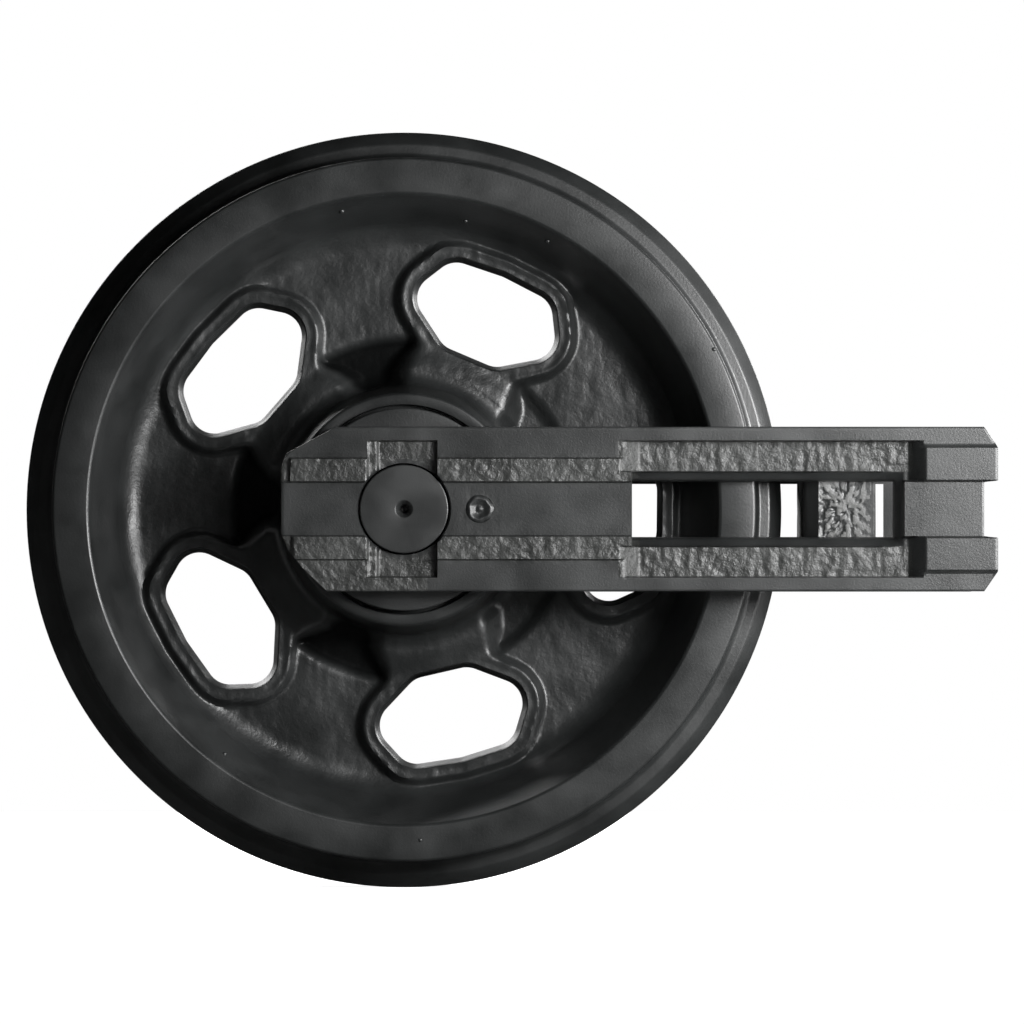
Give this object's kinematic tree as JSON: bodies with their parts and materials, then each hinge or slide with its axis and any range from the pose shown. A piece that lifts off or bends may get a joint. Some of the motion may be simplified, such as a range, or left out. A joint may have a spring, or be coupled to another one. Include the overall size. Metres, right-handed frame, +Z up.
{
  "type": "front idler",
  "caption": "Excavator front idler: flanged cast wheel turning on a fixed, oil-filled shaft between cast guide arms joined by a cross-member.",
  "frame": {"origin": "centre of the wheel on its spin axis, midway between the arms", "axes": "+X from the wheel axis back along the arms to the tensioner, +Y along the wheel axis from the near arm to the far arm, +Z up"},
  "size_m": [0.7165, 0.236, 0.56],
  "materials": {
    "wheel_paint": "satin black paint on cast steel",
    "arm_paint": "satin black paint on cast steel, part machined",
    "beam_paint": "satin black paint on cast steel",
    "shaft_steel": "satin black paint on turned steel",
    "plug_steel": "satin black paint on steel",
    "pin_steel": "plain ground steel",
    "bush_bronze": "turned bronze",
    "seal_iron": "lapped cast iron",
    "rubber": "matt nitrile rubber"
  },
  "bodies": {
    "yoke": {"shaft": "shaft_steel", "near_arm": "arm_paint", "far_arm": "arm_paint", "cross_member": "beam_paint", "near_fixed_seal_ring": "seal_iron", "far_fixed_seal_ring": "seal_iron", "near_fixed_toric": "rubber", "far_fixed_toric": "rubber", "near_shaft_o_ring": "rubber", "far_shaft_o_ring": "rubber", "near_lock_pin": "pin_steel", "far_lock_pin": "pin_steel", "near_arm_plug": "plug_steel", "far_arm_plug": "plug_steel", "oil_plug": "plug_steel"},
    "wheel": {"idler_wheel": "wheel_paint", "near_bush": "bush_bronze", "far_bush": "bush_bronze", "near_rotating_seal_ring": "seal_iron", "far_rotating_seal_ring": "seal_iron", "near_rotating_toric": "rubber", "far_rotating_toric": "rubber"}
  },
  "joints": [
    {"name": "wheel_spin", "type": "hinge", "parent": "yoke", "child": "wheel", "pos_m": [0, 0, 0], "axis": [0, 1, 0], "continuous": true}
  ]
}
